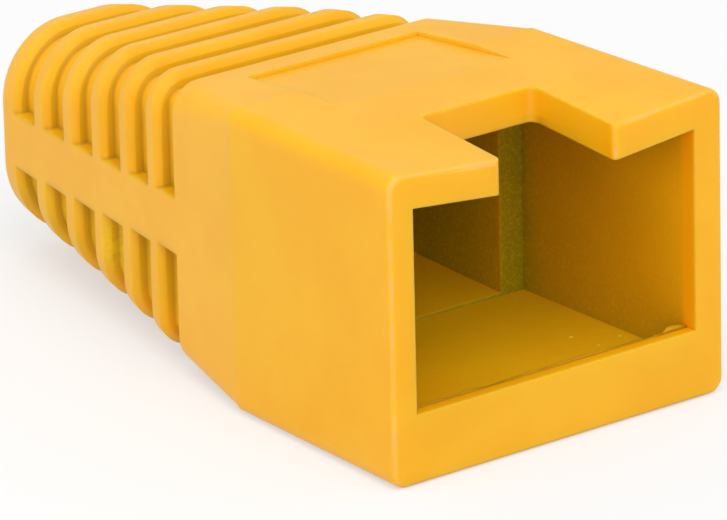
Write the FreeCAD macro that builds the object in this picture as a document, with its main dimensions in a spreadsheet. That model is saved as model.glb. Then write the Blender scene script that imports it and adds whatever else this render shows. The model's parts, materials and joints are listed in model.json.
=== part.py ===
"""Strain relief boot for an RJ45 plug: one soft PVC moulding.

X runs across the boot, Y from the mouth back to the cable end, Z up. The
origin is the middle of the boot's length and width, on the surface that it
stands on. All sizes are millimetres and live in the spreadsheet; distances
along the boot are measured from the mouth.
"""
import math
import os

import FreeCAD
import Part
import Sketcher
from FreeCAD import Vector

NODE = "strain_relief_boot"

SIZES = [
    # hood: the box that closes over the plug
    ("hood_width", 14.1),
    ("hood_height", 10.83),
    ("hood_length", 9.1),
    ("hood_corner", 0.55),
    ("shoulder_width", 13.35),
    ("shoulder_step", 0.02),
    # tail: from the shoulder back to the cable end, which hangs a little low
    ("tail_length", 18.05),
    ("end_width", 6.9),
    ("end_bottom", 0.92),
    ("end_top", 8.45),
    ("end_corner", 2.8),
    # the tail bends down slightly at its third groove
    ("waist_width", 10.1),
    ("waist_bottom", 0.68),
    ("waist_top", 9.94),
    ("waist_corner", 1.68),
    # plug chamber and its mouth
    ("chamber_width", 11.9),
    ("chamber_depth", 9.2),
    ("floor_height", 1.4),
    ("roof_thickness", 1.23),
    ("sill_height", 2.47),
    ("sill_thickness", 0.5),
    ("core_offset", -0.12),
    # latch notch between the two tabs of the roof
    ("notch_width", 4.8),
    ("notch_depth", 4.25),
    ("notch_corner", 0.35),
    ("left_tab_sag", 0.38),
    ("right_tab_sag", 0.32),
    # throat behind the chamber, then a cone down to the cable bore
    ("throat_width", 9.7),
    ("throat_bottom", 1.5),
    ("throat_roof", 1.53),
    ("throat_end", 14.4),
    ("throat_end_width", 9.2),
    ("throat_rise", 0.35),
    ("cone_diameter", 6.6),
    ("funnel_end", 19.0),
    ("bore_diameter", 5.5),
    ("bore_height", 4.75),
    # grooves round the tail
    ("groove_count", 6),
    ("groove_start", 14.015),
    ("groove_pitch", 2.04),
    ("groove_spread", 0.08),
    ("groove_width", 0.98),
    ("groove_widening", 0.045),
    ("groove_depth", 0.6),
    ("cut_margin", 1.0),
    ("crest_break", 0.25),
    ("band_width", 2.0),
    ("band_front", 5.38),
    ("band_rear", 4.74),
    # shallow panel on the roof, ahead of the last rib
    ("panel_width", 7.3),
    ("panel_start", 6.9),
    ("panel_end", 12.05),
    ("panel_depth", 0.14),
    # edge breaks
    ("mouth_edge", 0.2),
    ("end_edge", 0.7),
]

doc = FreeCAD.newDocument("strain_relief_boot")
sheet = doc.addObject("Spreadsheet::Sheet", "Sizes")
for row, (name, value) in enumerate(SIZES, start=1):
    sheet.set("A%d" % row, name)
    sheet.set("B%d" % row, str(value))
    sheet.setAlias("B%d" % row, name)
doc.recompute()

body = doc.addObject("PartDesign::Body", "Boot")
body.Label = NODE

MIDDLE = "(Sizes.hood_length + Sizes.tail_length) / 2"


def evaluate(expression):
    """The value that an expression on the sheet has now."""
    return float(sheet.evalExpression(expression.replace("Sizes.", "")))


GROOVES = int(evaluate("Sizes.groove_count"))
WAIST_GROOVE = 2


def origin_plane(role):
    for feature in body.Origin.OriginFeatures:
        if feature.Role == role:
            return feature
    raise RuntimeError("no origin plane " + role)


def new_sketch(name, role, offset):
    sketch = body.newObject("Sketcher::SketchObject", name)
    sketch.AttachmentSupport = [(origin_plane(role), "")]
    sketch.MapMode = "FlatFace"
    sketch.setExpression("AttachmentOffset.Base.z", offset)
    return sketch


def cross_sketch(name, distance):
    """A sketch across the boot, a given distance behind the mouth.

    Its x is the boot's X and its y is the boot's Z. The XZ plane faces -Y.
    """
    return new_sketch(name, "XZ_Plane", "%s - (%s)" % (MIDDLE, distance))


def bind(sketch, name, kind, expression, *where):
    """Add one driving dimension and tie it to the sheet."""
    index = sketch.addConstraint(Sketcher.Constraint(kind, *where, evaluate(expression)))
    sketch.renameConstraint(index, name)
    sketch.setExpression("Constraints." + name, expression)


def bind_place(sketch, name, axis, expression, geometry, point):
    """Hold a point at a distance from the sketch's origin, on either side of it."""
    if evaluate(expression) < 0:
        bind(sketch, name, "Distance" + axis, "-1 * (%s)" % expression, geometry, point, -1, 1)
    else:
        bind(sketch, name, "Distance" + axis, expression, -1, 1, geometry, point)


def outline(sketch, tag, corners):
    """Draw one closed outline and constrain it fully.

    A corner is (x, y) where it is sharp, or (x, y, radius, side) where it is
    round: x and y are then the arc's centre, and side is 1 where the outline
    turns left round it and -1 where it turns right.
    """
    count = len(corners)
    place = [Vector(evaluate(corner[0]), evaluate(corner[1]), 0) for corner in corners]
    radius = [evaluate(corner[2]) if len(corner) > 2 else 0 for corner in corners]
    side = [corner[3] if len(corner) > 2 else 0 for corner in corners]
    ends = []
    for i in range(count):
        j = (i + 1) % count
        heading = (place[j] - place[i]).normalize()
        right = Vector(heading.y, -heading.x, 0)
        ends.append((place[i] + right * radius[i] * side[i], place[j] + right * radius[j] * side[j]))
    lines = [sketch.addGeometry(Part.LineSegment(*pair)) for pair in ends]
    for i, corner in enumerate(corners):
        before, after = lines[i - 1], lines[i]
        label = "%s%d" % (tag, i)
        if side[i] == 0:
            sketch.addConstraint(Sketcher.Constraint("Coincident", before, 2, after, 1))
            bind_place(sketch, label + "x", "X", corner[0], after, 1)
            bind_place(sketch, label + "y", "Y", corner[1], after, 1)
            continue
        start, end = ends[i - 1][1], ends[i][0]
        if side[i] < 0:
            start, end = end, start
        angles = [math.atan2(p.y - place[i].y, p.x - place[i].x) for p in (start, end)]
        circle = Part.Circle(place[i], Vector(0, 0, 1), radius[i])
        arc = sketch.addGeometry(Part.ArcOfCircle(circle, angles[0], angles[1]))
        first, last = (1, 2) if side[i] > 0 else (2, 1)
        sketch.addConstraint(Sketcher.Constraint("Tangent", before, 2, arc, first))
        sketch.addConstraint(Sketcher.Constraint("Tangent", arc, last, after, 1))
        bind(sketch, label + "radius", "Radius", corner[2], arc)
        bind_place(sketch, label + "x", "X", corner[0], arc, 3)
        bind_place(sketch, label + "y", "Y", corner[1], arc, 3)


def add(kind, name, **settings):
    feature = body.newObject("PartDesign::" + kind, name)
    for setting, value in settings.items():
        setattr(feature, setting, value)
    return feature


def groove_distance(index):
    """Where a groove's middle is: the grooves stand wider apart towards the cable."""
    steps = index * (index - 1) / 2
    return "(Sizes.groove_start + %d * Sizes.groove_pitch + %d * Sizes.groove_spread)" % (index, steps)


def along(sizes, distance):
    """A size at a distance: straight from the shoulder to the waist, and on to the end.

    The sizes are the ones at the shoulder, the waist and the cable end.
    """
    waist = groove_distance(WAIST_GROOVE)
    places = ("Sizes.hood_length", waist, "(Sizes.hood_length + Sizes.tail_length)")
    first = 0 if evaluate(distance) <= evaluate(waist) else 1
    front, rear = places[first:first + 2]
    share = "((%s) - %s) / (%s - %s)" % (distance, front, rear, front)
    return "((%s) + ((%s) - (%s)) * %s)" % (sizes[first], sizes[first + 1], sizes[first], share)


def rounded(sketch, tag, half_width, bottom, top, radius):
    """A rectangle with round corners, level and centred on x = 0."""
    right = "(%s - %s)" % (half_width, radius)
    left = "-1 * " + right
    low = "%s + %s" % (bottom, radius)
    high = "%s - %s" % (top, radius)
    outline(sketch, tag, [(left, low, radius, 1), (right, low, radius, 1),
                          (right, high, radius, 1), (left, high, radius, 1)])


def rectangle(sketch, tag, left, right, bottom, top):
    outline(sketch, tag, [(left, bottom), (right, bottom), (right, top), (left, top)])


def make_hood():
    """The box over the plug: its sides draw in a little towards the shoulder."""
    sketch = new_sketch("HoodSketch", "XY_Plane", "0")
    front = "-1 * %s" % MIDDLE
    rear = "Sizes.hood_length - %s" % MIDDLE
    outline(sketch, "hood", [
        ("-1 * Sizes.hood_width / 2", front),
        ("Sizes.hood_width / 2", front),
        ("Sizes.shoulder_width / 2", rear),
        ("-1 * Sizes.shoulder_width / 2", rear),
    ])
    hood = add("Pad", "Hood", Profile=sketch)
    hood.setExpression("Length", "Sizes.hood_height")
    doc.recompute()
    narrow = min(evaluate("Sizes.hood_width"), evaluate("Sizes.shoulder_width")) / 2 - 0.01
    round_edges("HoodCorners", "Sizes.hood_corner",
                lambda point: abs(point.x) > narrow and not between_ends(point))


def sag_level(side, across, distance):
    """Height of a sagging tab: level at its outer edge and at the notch's end."""
    sag = "Sizes.%s_tab_sag" % side
    fall = "(1 - (%s) / Sizes.notch_depth)" % distance
    edge = "(Sizes.hood_width / 2 - Sizes.hood_corner)"
    share = "(%s - (%s)) / (%s - Sizes.notch_width / 2)" % (edge, across, edge)
    return "(Sizes.hood_height - %s * %s * %s)" % (sag, fall, share)


def make_tab_sag(side, sign):
    """The roof falls towards the free corner of a tab."""
    inner = "(Sizes.notch_width / 2 - Sizes.notch_corner)"
    outer = "(Sizes.hood_width / 2)"
    above = "Sizes.hood_height + Sizes.cut_margin"
    sections = []
    for name, distance in (("Front", "0"), ("Rear", "(Sizes.notch_depth + Sizes.mouth_edge)")):
        sketch = cross_sketch(side.capitalize() + "Sag" + name, distance)
        corners = [(sign + inner, sag_level(side, inner, distance)),
                   (sign + outer, sag_level(side, outer, distance)),
                   (sign + outer, above), (sign + inner, above)]
        if sign == "-1 * ":
            corners.reverse()
        outline(sketch, "sag", corners)
        sections.append(sketch)
    sag = side.capitalize() + "Sag"
    add("SubtractiveLoft", sag, Profile=sections[0], Sections=sections[1:], Ruled=True)


def tail_size(distance):
    """Half width, bottom, top and corner radius of the tail at a distance."""
    half = ("Sizes.shoulder_width / 2 - Sizes.shoulder_step", "Sizes.waist_width / 2",
            "Sizes.end_width / 2")
    bottom = ("Sizes.shoulder_step", "Sizes.waist_bottom", "Sizes.end_bottom")
    top = ("Sizes.hood_height - Sizes.shoulder_step", "Sizes.waist_top", "Sizes.end_top")
    corner = ("Sizes.hood_corner", "Sizes.waist_corner", "Sizes.end_corner")
    return [along(sizes, distance) for sizes in (half, bottom, top, corner)]


def make_tail():
    """The tapered tail, whose corners grow rounder towards the cable."""
    sections = []
    for name, distance in (("TailStart", "Sizes.hood_length"),
                           ("TailWaist", groove_distance(WAIST_GROOVE)),
                           ("TailEnd", "Sizes.hood_length + Sizes.tail_length")):
        sketch = cross_sketch(name, distance)
        rounded(sketch, "tail", *tail_size(distance))
        sections.append(sketch)
    add("AdditiveLoft", "Tail", Profile=sections[0], Sections=sections[1:], Ruled=True)


def make_chamber():
    """Plug chamber: the mouth over the sill, then the deeper floor behind it."""
    roof = "Sizes.hood_height - Sizes.roof_thickness"
    left = "Sizes.core_offset - Sizes.chamber_width / 2"
    right = "Sizes.core_offset + Sizes.chamber_width / 2"
    sections = []
    for name, distance, sag_left, sag_right in (
            ("MouthSection", "0", "Sizes.left_tab_sag", "Sizes.right_tab_sag"),
            ("RoofSection", "Sizes.notch_depth", "0", "0"),
            ("ChamberEnd", "Sizes.chamber_depth", "0", "0")):
        sketch = cross_sketch(name, distance)
        outline(sketch, "inner", [
            (left, "Sizes.sill_height"),
            (right, "Sizes.sill_height"),
            (right, roof),
            ("Sizes.notch_width / 2", roof + " - " + sag_right),
            ("-1 * Sizes.notch_width / 2", roof + " - " + sag_left),
            (left, roof),
        ])
        sections.append(sketch)
    add("SubtractiveLoft", "Chamber", Profile=sections[0], Sections=sections[1:], Ruled=True)
    sketch = cross_sketch("FloorSketch", "Sizes.sill_thickness")
    rectangle(sketch, "floor", left, right, "Sizes.floor_height", roof + " - Sizes.cut_margin")
    floor = add("Pocket", "Floor", Profile=sketch)
    floor.setExpression("Length", "Sizes.chamber_depth - Sizes.sill_thickness")


def make_notch():
    """Latch notch through the roof, open at the mouth."""
    sketch = new_sketch("NotchSketch", "XY_Plane", "Sizes.hood_height + Sizes.cut_margin")
    half = "Sizes.notch_width / 2"
    back = "Sizes.notch_depth - Sizes.notch_corner - %s" % MIDDLE
    front = "-1 * %s - Sizes.cut_margin" % MIDDLE
    outline(sketch, "notch", [
        ("-1 * " + half, front),
        (half, front),
        (half + " - Sizes.notch_corner", back, "Sizes.notch_corner", 1),
        ("Sizes.notch_corner - " + half, back, "Sizes.notch_corner", 1),
    ])
    notch = add("Pocket", "Notch", Profile=sketch)
    notch.setExpression("Length", "Sizes.roof_thickness + 2 * Sizes.cut_margin")


def make_throat():
    """Square throat behind the chamber, a cone, and the bore that the cable leaves by."""
    start = cross_sketch("ThroatStart", "Sizes.chamber_depth")
    rectangle(start, "throat", "-1 * Sizes.throat_width / 2", "Sizes.throat_width / 2",
              "Sizes.throat_bottom", "Sizes.hood_height - Sizes.throat_roof")
    end = cross_sketch("ThroatEnd", "Sizes.throat_end")
    rectangle(end, "throat", "-1 * Sizes.throat_end_width / 2", "Sizes.throat_end_width / 2",
              "Sizes.throat_bottom + Sizes.throat_rise",
              "Sizes.hood_height - Sizes.throat_roof - Sizes.throat_rise")
    add("SubtractiveLoft", "Throat", Profile=start, Sections=[end], Ruled=True)
    sketch = new_sketch("ConeSketch", "YZ_Plane", "0")
    back = "Sizes.hood_length + Sizes.tail_length - %s" % MIDDLE
    narrow = "Sizes.bore_height + Sizes.bore_diameter / 2"
    outline(sketch, "cone", [
        ("Sizes.throat_end - %s" % MIDDLE, "Sizes.bore_height"),
        (back, "Sizes.bore_height"),
        (back, narrow),
        ("Sizes.funnel_end - %s" % MIDDLE, narrow),
        ("Sizes.throat_end - %s" % MIDDLE, "Sizes.bore_height + Sizes.cone_diameter / 2"),
    ])
    add("Groove", "Bore", Profile=sketch, ReferenceAxis=(sketch, ["Edge1"]), Angle=360)


def core_size(distance):
    """Half width, bottom, top and corner radius of a groove's floor."""
    half, bottom, top, corner = tail_size(distance)
    return ("(%s - Sizes.groove_depth)" % half, "(%s + Sizes.groove_depth)" % bottom,
            "(%s - Sizes.groove_depth)" % top, "(%s - Sizes.groove_depth)" % corner)


def groove_width(index):
    return "(Sizes.groove_width + %d * Sizes.groove_widening)" % index


def band_height(index):
    """Middle of the plain band where it crosses a groove."""
    share = index / (GROOVES - 1)
    return "(Sizes.band_front + (Sizes.band_rear - Sizes.band_front) * %.4f)" % share


def make_groove(index):
    """One ring groove, broken on both sides by the plain band."""
    distance = groove_distance(index)
    sketch = cross_sketch("GrooveSketch%d" % index, "%s - %s / 2" % (distance, groove_width(index)))
    half, bottom, top, corner = core_size(distance)
    band = band_height(index)
    over = "(Sizes.groove_depth + Sizes.cut_margin)"
    for tag, out, limit in (("upper", "+", top), ("lower", "-", bottom)):
        level = "%s %s Sizes.band_width / 2" % (band, out)
        far = "%s %s %s" % (limit, out, over)
        near = "%s - %s" % (limit, corner) if tag == "upper" else "%s + %s" % (limit, corner)
        # the outline runs anticlockwise, so the lower one starts on the other side
        sign = "1 * " if tag == "upper" else "-1 * "
        other = "-1 * " if tag == "upper" else "1 * "
        reach = "(%s + %s)" % (half, over)
        centre = "(%s - %s)" % (half, corner)
        outline(sketch, tag, [
            (sign + reach, level),
            (sign + reach, far),
            (other + reach, far),
            (other + reach, level),
            (other + half, level),
            (other + centre, near, corner, -1),
            (sign + centre, near, corner, -1),
            (sign + half, level),
        ])
    groove = add("Pocket", "Groove%d" % index, Profile=sketch)
    groove.setExpression("Length", groove_width(index))


def make_panel():
    """Shallow panel on the roof: it starts flush and is deepest at its rear edge."""
    sketch = new_sketch("PanelSketch", "YZ_Plane", "0")
    start = "Sizes.panel_start - " + MIDDLE
    end = "Sizes.panel_end - " + MIDDLE
    floor = tail_size("Sizes.panel_end")[2] + " - Sizes.panel_depth"
    above = "Sizes.hood_height + Sizes.cut_margin"
    outline(sketch, "panel", [(start, "Sizes.hood_height"), (end, floor), (end, above), (start, above)])
    panel = add("Pocket", "Panel", Profile=sketch, Midplane=True)
    panel.setExpression("Length", "Sizes.panel_width")


def clearance(point, distance):
    """How far a point stands off the floor of the groove at that distance."""
    half, bottom, top, corner = [evaluate(text) for text in core_size(distance)]
    out_x = abs(point.x) - half + corner
    out_z = abs(point.z - (top + bottom) / 2) - (top - bottom) / 2 + corner
    outside = math.hypot(max(out_x, 0), max(out_z, 0)) + min(max(out_x, out_z), 0)
    return outside - corner


def edges_where(test):
    """Names of the body's edges whose three sample points all pass the test."""
    names = []
    for number, edge in enumerate(body.Shape.Edges, start=1):
        first, last = edge.ParameterRange
        samples = [edge.valueAt(first + (last - first) * share) for share in (0.1, 0.5, 0.9)]
        if all(test(point) for point in samples):
            names.append("Edge%d" % number)
    return names


def at_distance(point, distance):
    return abs(point.y + evaluate(MIDDLE) - distance) < 1e-4


def between_ends(point):
    """Whether a point is on one of the hood's two end faces."""
    return at_distance(point, 0) or at_distance(point, evaluate("Sizes.hood_length"))


def round_edges(name, radius, test):
    """Fillet the edges that pass the test, on the body as it is so far."""
    fillet = add("Fillet", name, Base=(body.Tip, edges_where(test)))
    fillet.setExpression("Radius", radius)
    doc.recompute()


def break_crest(name, index, wall):
    """Chamfer the crest of a rib at the wall of a groove that stands at that distance."""
    distance = groove_distance(index)
    high = evaluate("Sizes.groove_depth / 2")
    edges = edges_where(lambda point: at_distance(point, wall) and clearance(point, distance) > high)
    crest = add("Chamfer", name, Base=(body.Tip, edges))
    crest.setExpression("Size", "Sizes.crest_break")
    doc.recompute()


def break_crests(index):
    """Chamfer the crests of the two ribs that meet a groove."""
    distance = groove_distance(index)
    for side, shift in (("Front", "-"), ("Rear", "+")):
        wall = evaluate("%s %s %s / 2" % (distance, shift, groove_width(index)))
        break_crest("Crest%s%d" % (side, index), index, wall)


def round_tail_end():
    """Round the outer rim of the cable end."""
    end = evaluate("Sizes.hood_length + Sizes.tail_length")
    bore = evaluate("Sizes.bore_diameter / 2")
    height = evaluate("Sizes.bore_height")
    round_edges("TailRim", "Sizes.end_edge", lambda point: at_distance(point, end)
                and math.hypot(point.x, point.z - height) > bore + 0.01)


def round_mouth():
    """Break the outer edges of the mouth and the front edges of both tabs."""
    left = evaluate("Sizes.core_offset - Sizes.chamber_width / 2")
    right = evaluate("Sizes.core_offset + Sizes.chamber_width / 2")
    sill = evaluate("Sizes.sill_height")
    roof = evaluate("Sizes.hood_height - Sizes.roof_thickness")
    notch = evaluate("Sizes.notch_width / 2")

    def outside(point):
        if not at_distance(point, 0):
            return False
        over_roof = point.z > roof + 0.01
        beside = point.x < left - 0.01 or point.x > right + 0.01
        return over_roof or beside or point.z < sill - 0.01 or abs(point.x) < notch + 1e-4

    round_edges("MouthEdge", "Sizes.mouth_edge", outside)


def check():
    """Stop before anything is written if a feature or the solid is bad."""
    for item in doc.Objects:
        if "Invalid" in item.State or "Error" in item.State:
            raise RuntimeError("%s is %s" % (item.Name, item.State))
    if body.Shape.isNull() or not body.Shape.isValid():
        raise RuntimeError("the solid is not valid")
    if len(body.Shape.Solids) != 1:
        raise RuntimeError("%d solids instead of one" % len(body.Shape.Solids))


make_hood()
make_tail()
make_tab_sag("left", "-1 * ")
make_tab_sag("right", "")
make_chamber()
make_notch()
make_throat()
make_panel()
for index in range(GROOVES):
    make_groove(index)
doc.recompute()
round_tail_end()
round_mouth()
for index in range(GROOVES):
    break_crests(index)
check()
print("volume %.2f mm3" % body.Shape.Volume, body.Shape.BoundBox)
os.makedirs("parts", exist_ok=True)
body.Shape.exportStep("parts/%s.step" % NODE)
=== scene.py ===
"""Looks, light and camera for the strain relief boot: one soft PVC moulding on a white table.

Places on the boot are in millimetres: across from its middle, along from the plane
of its mouth, and up from the table.
"""
import json
import math
import random

import bpy
from mathutils import Matrix, Vector


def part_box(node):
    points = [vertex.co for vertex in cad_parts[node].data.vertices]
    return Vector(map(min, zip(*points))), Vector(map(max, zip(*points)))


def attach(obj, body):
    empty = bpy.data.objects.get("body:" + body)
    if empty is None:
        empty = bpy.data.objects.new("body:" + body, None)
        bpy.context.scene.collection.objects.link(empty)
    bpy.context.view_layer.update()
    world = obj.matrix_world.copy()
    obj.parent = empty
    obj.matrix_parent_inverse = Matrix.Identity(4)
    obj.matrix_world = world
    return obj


NODE = "strain_relief_boot"
MM = 0.001

# sizes of the boot's inside and tail, which the frame doesn't hold
HALF_CHAMBER = 5.95
CHAMBER_DEPTH = 9.2
CHAMBER_FLOOR = 1.4
CHAMBER_ROOF = 9.6
HALF_THROAT = 4.85
SILL_HEIGHT = 2.47
SILL_THICKNESS = 0.5
FIRST_GROOVE = 14.0

# the camera: a long lens from the front left, a little above
AIM = (-3.85, 5.585, 5.79)
AZIMUTH = -37.40
ELEVATION = 19.94
ROLL = -1.38
DISTANCE = 251.6
LENS = 375.6
SENSOR = 36.0

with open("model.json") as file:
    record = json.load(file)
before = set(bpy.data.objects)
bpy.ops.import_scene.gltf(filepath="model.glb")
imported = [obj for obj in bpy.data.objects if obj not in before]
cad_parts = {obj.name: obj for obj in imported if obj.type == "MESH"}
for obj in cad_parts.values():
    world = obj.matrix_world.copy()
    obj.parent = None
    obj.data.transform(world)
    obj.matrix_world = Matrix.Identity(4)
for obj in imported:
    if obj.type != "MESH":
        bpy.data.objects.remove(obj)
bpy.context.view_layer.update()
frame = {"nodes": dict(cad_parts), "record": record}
boot = frame["nodes"][NODE]
low_corner, high_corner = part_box(NODE)
MOUTH = low_corner[1]
HALF_HOOD = high_corner[0] / MM

mounts = {mount["name"]: mount for mount in frame["record"]["mounts"]}
BORE_HEIGHT = mounts["cable_bore"]["pos_m"][2] / MM
BORE_RADIUS = mounts["cable_bore"]["dims"]["r_mm"]


def at(across, along, up):
    """A place on the boot, in the frame's metres."""
    return Vector((across * MM, MOUTH + along * MM, up * MM))


def linear(*srgb):
    """An sRGB colour, 0 to 255, as linear RGBA."""
    out = []
    for value in srgb:
        c = value / 255
        out.append(c / 12.92 if c <= 0.04045 else ((c + 0.055) / 1.055) ** 2.4)
    return (*out, 1.0)


class Nodes:
    """A material's node tree, with short ways to add and join nodes."""

    def __init__(self, name):
        self.material = bpy.data.materials.new(name)
        self.material.use_nodes = True
        self.tree = self.material.node_tree
        self.tree.nodes.clear()

    def add(self, kind, inputs=None, **settings):
        node = self.tree.nodes.new("ShaderNode" + kind)
        for key, value in settings.items():
            setattr(node, key, value)
        for key, value in (inputs or {}).items():
            self.put(node.inputs[key], value)
        return node

    def put(self, socket, value):
        if isinstance(value, bpy.types.NodeSocket):
            self.tree.links.new(value, socket)
        else:
            socket.default_value = value

    def math(self, operation, a, b=0.0):
        return self.add("Math", {0: a, 1: b}, operation=operation).outputs[0]

    def every(self, *masks):
        """The product of some masks."""
        result = masks[0]
        for mask in masks[1:]:
            result = self.math("MULTIPLY", result, mask)
        return result

    def any(self, *masks):
        """The largest of some masks."""
        result = masks[0]
        for mask in masks[1:]:
            result = self.math("MAXIMUM", result, mask)
        return result

    def vector(self, operation, a, b=(0, 0, 0)):
        return self.add("VectorMath", {0: a, 1: b}, operation=operation).outputs

    def blend(self, factor, a, b):
        node = self.add("Mix", data_type="RGBA", blend_type="MIX")
        self.put(node.inputs[0], factor)
        self.put(node.inputs[6], a)
        self.put(node.inputs[7], b)
        return node.outputs[2]

    def ramp(self, value, low, high):
        """0 at low, 1 at high, smooth between them; low may be the larger."""
        node = self.add("MapRange", {"Value": value, "From Min": low, "From Max": high},
                        interpolation_type="SMOOTHSTEP")
        return node.outputs["Result"]

    def noise(self, place, scale, detail=2.0, roughness=0.5):
        node = self.add("TexNoise", {"Vector": place, "Scale": scale, "Detail": detail,
                                     "Roughness": roughness})
        return node.outputs["Fac"]

    def finish(self, shader):
        self.add("OutputMaterial", {"Surface": shader.outputs[0]})
        return self.material


class BootNodes(Nodes):
    """Nodes that know where on the boot they are."""

    def __init__(self, name):
        super().__init__(name)
        coordinates = self.add("TexCoord").outputs
        self.place = coordinates["Object"]
        axes = self.add("SeparateXYZ", {0: self.place}).outputs
        self.across = self.math("ABSOLUTE", axes[0])
        self.along = self.math("SUBTRACT", axes[1], MOUTH)
        self.height = axes[2]
        turned = self.add("SeparateXYZ", {0: coordinates["Normal"]}).outputs
        self.facing_back = turned[1]
        self.facing_up = turned[2]
        self.tail = self.above(self.along, FIRST_GROOVE - 1.0, FIRST_GROOVE)
        # rounder on the tail's ribs than on the hood's crisp edges
        radius = self.math("ADD", self.math("MULTIPLY", self.tail, 0.22 * MM), 0.13 * MM)
        self.rounded = self.add("Bevel", {"Radius": radius}, samples=4).outputs["Normal"]
        self.open = self.add("AmbientOcclusion", {"Distance": 10 * MM}, samples=6).outputs["AO"]

    def above(self, value, low, high):
        """0 up to a lower limit in millimetres, 1 past a higher one."""
        return self.ramp(value, low * MM, high * MM)

    def below(self, value, limit, soft=0.15):
        """1 below a limit in millimetres, fading to 0 just past it."""
        return self.ramp(value, (limit + soft) * MM, limit * MM)

    def spot(self, place, radius, stretch=(1, 1, 1)):
        """1 round a place on the boot, fading to 0 at a radius in millimetres."""
        away = self.vector("SUBTRACT", self.place, at(*place))[0]
        scaled = self.vector("MULTIPLY", away, stretch)[0]
        length = self.vector("LENGTH", scaled)["Value"]
        return self.ramp(length, radius * MM, radius * 0.35 * MM)


def painted_edge_highlight(nodes):
    """Painted highlight on the mouth's outer rounded edges and the hood's sharp ones, in patches."""
    outer = nodes.any(nodes.above(nodes.across, HALF_CHAMBER + 0.25, HALF_CHAMBER + 0.45),
                      nodes.above(nodes.height, CHAMBER_ROOF - 0.4, CHAMBER_ROOF - 0.2))
    lip = nodes.every(outer, nodes.below(nodes.along, 0.35),
                      nodes.ramp(nodes.facing_back, -0.3, -0.55),
                      nodes.ramp(nodes.facing_back, -0.97, -0.85))
    true_normal = nodes.add("NewGeometry").outputs["Normal"]
    turn = nodes.vector("DOT_PRODUCT", nodes.rounded, true_normal)["Value"]
    sharp = nodes.every(nodes.ramp(turn, 0.995, 0.90), nodes.ramp(nodes.open, 0.35, 0.6),
                        nodes.below(nodes.along, CHAMBER_DEPTH - 0.2), 0.4)
    patches = nodes.ramp(nodes.noise(nodes.place, 900.0, 3.0, 0.6), 0.25, 0.6)
    return nodes.every(nodes.any(lip, sharp), patches)


def outside_colour(nodes):
    """Orange-yellow pigment that drifts a little, with a painted highlight that makes the edges paler.
    """
    cloud = nodes.noise(nodes.place, 260.0, 3.0, 0.55)
    pigment = nodes.blend(nodes.ramp(cloud, 0.35, 0.65), linear(246, 178, 8), linear(250, 184, 18))
    # painted highlight: the edges blend toward pale peach
    edge_highlight = nodes.math("MULTIPLY", painted_edge_highlight(nodes), 0.5)
    return nodes.blend(edge_highlight, pigment, linear(255, 184, 122))


def cavity_shade_and_dust(nodes):
    """Painted shade for the cavities, duller and greener, painted lighter and warmer on faces that
    look up, with fine dust over it.
    """
    drift = nodes.ramp(nodes.noise(nodes.place, 420.0, 4.0, 0.6), 0.3, 0.7)
    wall = nodes.blend(drift, linear(150, 143, 0), linear(160, 151, 0))
    shade = nodes.blend(nodes.ramp(nodes.facing_up, 0.7, 0.95), wall, linear(242, 192, 0))
    dust = nodes.ramp(nodes.noise(nodes.place, 9000.0, 2.0, 0.6), 0.45, 0.75)
    return nodes.blend(nodes.math("MULTIPLY", dust, 0.3), shade, linear(250, 220, 70))


def cavity_level(nodes):
    """Between the chamber's floor and its roof."""
    return nodes.every(nodes.below(nodes.height, CHAMBER_ROOF + 0.15),
                       nodes.above(nodes.height, CHAMBER_FLOOR - 0.2, CHAMBER_FLOOR - 0.02))


def cavity(nodes):
    """The chamber, the throat and the bore."""
    level = cavity_level(nodes)
    chamber = nodes.every(level, nodes.below(nodes.across, HALF_CHAMBER + 0.03, 0.2),
                          nodes.below(nodes.along, CHAMBER_DEPTH + 0.2))
    throat = nodes.every(level, nodes.below(nodes.across, HALF_THROAT + 0.1),
                         nodes.below(nodes.along, FIRST_GROOVE - 0.1))
    centred = nodes.vector("SUBTRACT", nodes.place, (0, 0, BORE_HEIGHT * MM))[0]
    off_axis = nodes.vector("MULTIPLY", centred, (1, 0, 1))[0]
    bore = nodes.below(nodes.vector("LENGTH", off_axis)["Value"], BORE_RADIUS + 0.05, 0.05)
    return nodes.any(chamber, throat, bore)


def mouth_rim(nodes):
    """The thin plastic just inside the mouth, which light comes through; its deeper orange is a
    painted glow of that light.
    """
    return nodes.every(cavity_level(nodes), nodes.below(nodes.across, HALF_CHAMBER + 0.05, 0.1),
                       nodes.above(nodes.along, 0.05, 0.15),
                       nodes.below(nodes.along, SILL_THICKNESS, 0.35),
                       nodes.above(nodes.height, SILL_HEIGHT - 0.17, SILL_HEIGHT - 0.07))


def groove_shade(nodes, room):
    """Down in the tail's grooves, but not in its bore nor close to the table."""
    return nodes.every(nodes.ramp(nodes.open, 0.62, 0.36), nodes.tail,
                       nodes.above(nodes.height, 1.0, 2.6), nodes.math("SUBTRACT", 1.0, room))


def crumbs_of_flash(nodes, inside):
    """Fine crumbs all over the cavities, and three larger ones on the chamber's floor."""
    cells = nodes.add("TexVoronoi", {"Vector": nodes.place, "Scale": 950.0, "Randomness": 1.0},
                      feature="F1").outputs
    chance = nodes.add("SeparateColor", {"Color": cells["Color"]}).outputs[0]
    fine = nodes.every(nodes.ramp(cells["Distance"], 0.085, 0.04),
                       nodes.math("GREATER_THAN", chance, 0.80), inside)
    larger = [nodes.spot((4.1, 4.5, CHAMBER_FLOOR), 0.12),
              nodes.spot((5.4, 3.5, CHAMBER_FLOOR), 0.09),
              nodes.spot((4.3, 3.3, CHAMBER_FLOOR), 0.08)]
    return nodes.any(fine, *larger)


def smear_on_rib(nodes):
    patches = nodes.ramp(nodes.noise(nodes.place, 2600.0, 3.0, 0.7), 0.42, 0.6)
    return nodes.every(nodes.spot((-5.0, 18.6, 2.9), 1.1, (1.0, 1.6, 0.8)), patches)


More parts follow.
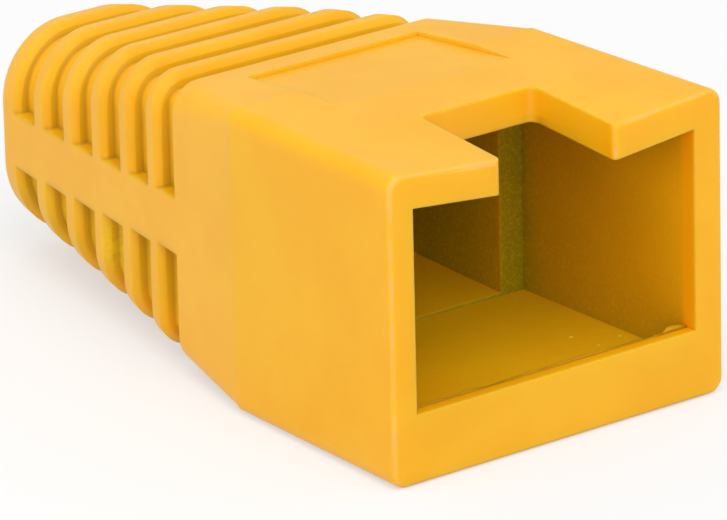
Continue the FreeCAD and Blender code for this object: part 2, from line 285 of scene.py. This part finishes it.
def scuffs(nodes):
    """Short ones by the mouth's left edge and just ahead of the first groove."""
    by_mouth = nodes.spot((-HALF_HOOD, 0.35, 5.6), 0.55, (1.0, 3.0, 1.0))
    by_groove = nodes.spot((-5.2, FIRST_GROOVE - 0.25, 10.1), 0.4, (1.0, 2.0, 1.0))
    patches = nodes.ramp(nodes.noise(nodes.place, 3800.0, 2.0, 0.6), 0.5, 0.62)
    return nodes.every(nodes.any(by_mouth, by_groove), patches)


def moulded_surface(nodes, raised):
    """Slow waves, fine grain and the raised marks, over softened edges."""
    grain = nodes.math("MULTIPLY", nodes.noise(nodes.place, 5200.0, 3.0, 0.6), 0.35)
    waves = nodes.noise(nodes.place, 700.0, 2.0, 0.5)
    height = nodes.math("ADD", nodes.math("ADD", grain, waves), nodes.math("MULTIPLY", raised, 1.5))
    bump = nodes.add("Bump", {"Strength": 0.12, "Distance": 0.03 * MM, "Height": height,
                              "Normal": nodes.rounded})
    return bump.outputs["Normal"]


def vinyl():
    nodes = BootNodes("soft_vinyl_moulding")
    room = cavity(nodes)
    # how hidden the cavity is from the light (ambient occlusion): the mask for the painted shade
    inside = nodes.every(nodes.ramp(nodes.open, 0.64, 0.26), room, nodes.above(nodes.along, 0.02, 0.2))
    crumbs = crumbs_of_flash(nodes, inside)
    smear = smear_on_rib(nodes)
    # painted shade: the cavities take the darker, greener colour
    colour = nodes.blend(inside, outside_colour(nodes), cavity_shade_and_dust(nodes))
    # painted glow on the mouth's rim and painted shade in the grooves; then real crumbs, a smear and
    # scuffs
    layers = [(mouth_rim(nodes), 0.8, linear(255, 172, 0)),
              (groove_shade(nodes, room), 0.7, linear(206, 172, 0)),
              (crumbs, 1.0, linear(255, 250, 90)),
              (smear, 0.7, linear(236, 206, 20)),
              (scuffs(nodes), 0.5, linear(255, 205, 120))]
    for mask, strength, shade in layers:
        colour = nodes.blend(nodes.math("MULTIPLY", mask, strength), colour, shade)
    shader = nodes.add("BsdfPrincipled", {
        "Base Color": colour,
        "Roughness": 0.42,
        "Specular IOR Level": 0.35,
        "IOR": 1.5,
        "Subsurface Weight": 0.5,
        "Subsurface Radius": (1.0, 0.6, 0.05),
        "Subsurface Scale": 1.1 * MM,
        "Normal": moulded_surface(nodes, nodes.any(crumbs, smear)),
    })
    return nodes.finish(shader)


def white_table():
    """Floor that reads white where it is lit and keeps the boot's soft shadow."""
    nodes = Nodes("white_table")
    plain = nodes.add("BsdfDiffuse", {"Color": (0.8, 0.8, 0.8, 1.0)})
    dim = nodes.add("BsdfDiffuse", {"Color": (0.42, 0.42, 0.42, 1.0)})
    glow = nodes.add("Emission", {"Color": (1, 1, 1, 1), "Strength": 0.53})
    pale = nodes.add("AddShader", {0: dim.outputs[0], 1: glow.outputs[0]})
    path = nodes.add("LightPath").outputs
    seen = nodes.any(path["Is Camera Ray"], path["Is Glossy Ray"], path["Is Transmission Ray"])
    both = nodes.add("MixShader", {0: seen, 1: plain.outputs[0], 2: pale.outputs[0]})
    return nodes.finish(both)


def make_flash(name, start, end, height, seed):
    """A thin ragged lip of flash that stands up along an edge and leans back."""
    draw = random.Random(seed)
    start, end = Vector(start), Vector(end)
    up, back = Vector((0, 0, 1)), Vector((0, 1, 0))
    step_length = 0.13
    overlap = back * 0.03
    thick = back * 0.045
    steps = round((end - start).length / step_length)
    reach = 0.5
    points = []
    for i in range(steps + 1):
        reach = min(1.0, max(0.15, reach + draw.uniform(-0.18, 0.18)))
        taper = min(1.0, i / 3, (steps - i) / 3)
        foot = start.lerp(end, i / steps)
        tip = foot + (up * height * reach + back * height * 0.5 * reach) * taper
        points += [at(*p) for p in (foot - overlap, tip, tip + thick * taper, foot + thick)]
    faces = []
    for i in range(steps):
        for j in range(4):
            a, b = 4 * i + j, 4 * i + (j + 1) % 4
            faces.append((a, b, b + 4, a + 4))
    faces += [(3, 2, 1, 0), tuple(4 * steps + j for j in range(4))]
    mesh = bpy.data.meshes.new(name)
    mesh.from_pydata(points, [], faces)
    mesh.update()
    mesh.materials.append(boot.material_slots[0].material)
    for polygon in mesh.polygons:
        polygon.use_smooth = True
    lip = bpy.data.objects.new(name, mesh)
    bpy.context.scene.collection.objects.link(lip)
    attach(lip, "root")


def make_floor():
    half = 0.6
    mesh = bpy.data.meshes.new("table")
    corners = [(-half, -half, 0), (half, -half, 0), (half, half, 0), (-half, half, 0)]
    mesh.from_pydata(corners, [], [(0, 1, 2, 3)])
    floor = bpy.data.objects.new("table", mesh)
    mesh.materials.append(white_table())
    # just under the boot, so that their faces don't share a plane
    floor.location.z = -0.02 * MM
    bpy.context.scene.collection.objects.link(floor)


def make_world():
    """Even white light, and pure white where the camera sees past the table."""
    world = bpy.data.worlds.new("studio")
    bpy.context.scene.world = world
    world.use_nodes = True
    tree = world.node_tree
    tree.nodes.clear()
    path = tree.nodes.new("ShaderNodeLightPath")
    dim = tree.nodes.new("ShaderNodeBackground")
    dim.inputs["Color"].default_value = (1, 1, 1, 1)
    dim.inputs["Strength"].default_value = 0.72
    white = tree.nodes.new("ShaderNodeBackground")
    white.inputs["Color"].default_value = (1, 1, 1, 1)
    mix = tree.nodes.new("ShaderNodeMixShader")
    out = tree.nodes.new("ShaderNodeOutputWorld")
    tree.links.new(path.outputs["Is Camera Ray"], mix.inputs[0])
    tree.links.new(dim.outputs[0], mix.inputs[1])
    tree.links.new(white.outputs[0], mix.inputs[2])
    tree.links.new(mix.outputs[0], out.inputs["Surface"])


def softbox(name, place, size, power):
    """A square area lamp aimed at the boot's middle; metres and watts."""
    light = bpy.data.lights.new(name, "AREA")
    light.size = size
    light.energy = power
    lamp = bpy.data.objects.new(name, light)
    lamp.location = place
    aim = Vector((0, 0, 5 * MM)) - Vector(place)
    lamp.rotation_euler = aim.to_track_quat("-Z", "Y").to_euler()
    bpy.context.scene.collection.objects.link(lamp)


def make_camera():
    data = bpy.data.cameras.new("camera")
    data.sensor_width = SENSOR
    data.lens = LENS
    data.clip_start = 0.01
    data.clip_end = 10.0
    camera = bpy.data.objects.new("camera", data)
    turn = Matrix.Rotation(math.radians(AZIMUTH), 4, "Z")
    tilt = Matrix.Rotation(math.radians(90 - ELEVATION), 4, "X")
    roll = Matrix.Rotation(math.radians(ROLL), 4, "Z")
    back_off = Matrix.Translation((0, 0, DISTANCE * MM))
    camera.matrix_world = Matrix.Translation(at(*AIM)) @ turn @ tilt @ roll @ back_off
    bpy.context.scene.collection.objects.link(camera)
    bpy.context.scene.camera = camera


boot.material_slots[0].material = vinyl()
sill_back = (SILL_THICKNESS, SILL_HEIGHT)
make_flash("sill_flash", (-HALF_CHAMBER, *sill_back), (HALF_CHAMBER, *sill_back), 0.08, 11)
lump_back = (SILL_THICKNESS - 0.05, SILL_HEIGHT)
make_flash("sill_lump", (4.6, *lump_back), (5.9, *lump_back), 0.17, 5)
make_floor()
make_world()
softbox("overhead", (-0.10, -0.12, 0.42), 0.35, 0.55)
softbox("front", (-0.16, -0.36, 0.30), 0.30, 0.6)
softbox("left", (-0.42, -0.02, 0.16), 0.25, 0.2)
make_camera()

bpy.context.scene.view_settings.view_transform = "Standard"
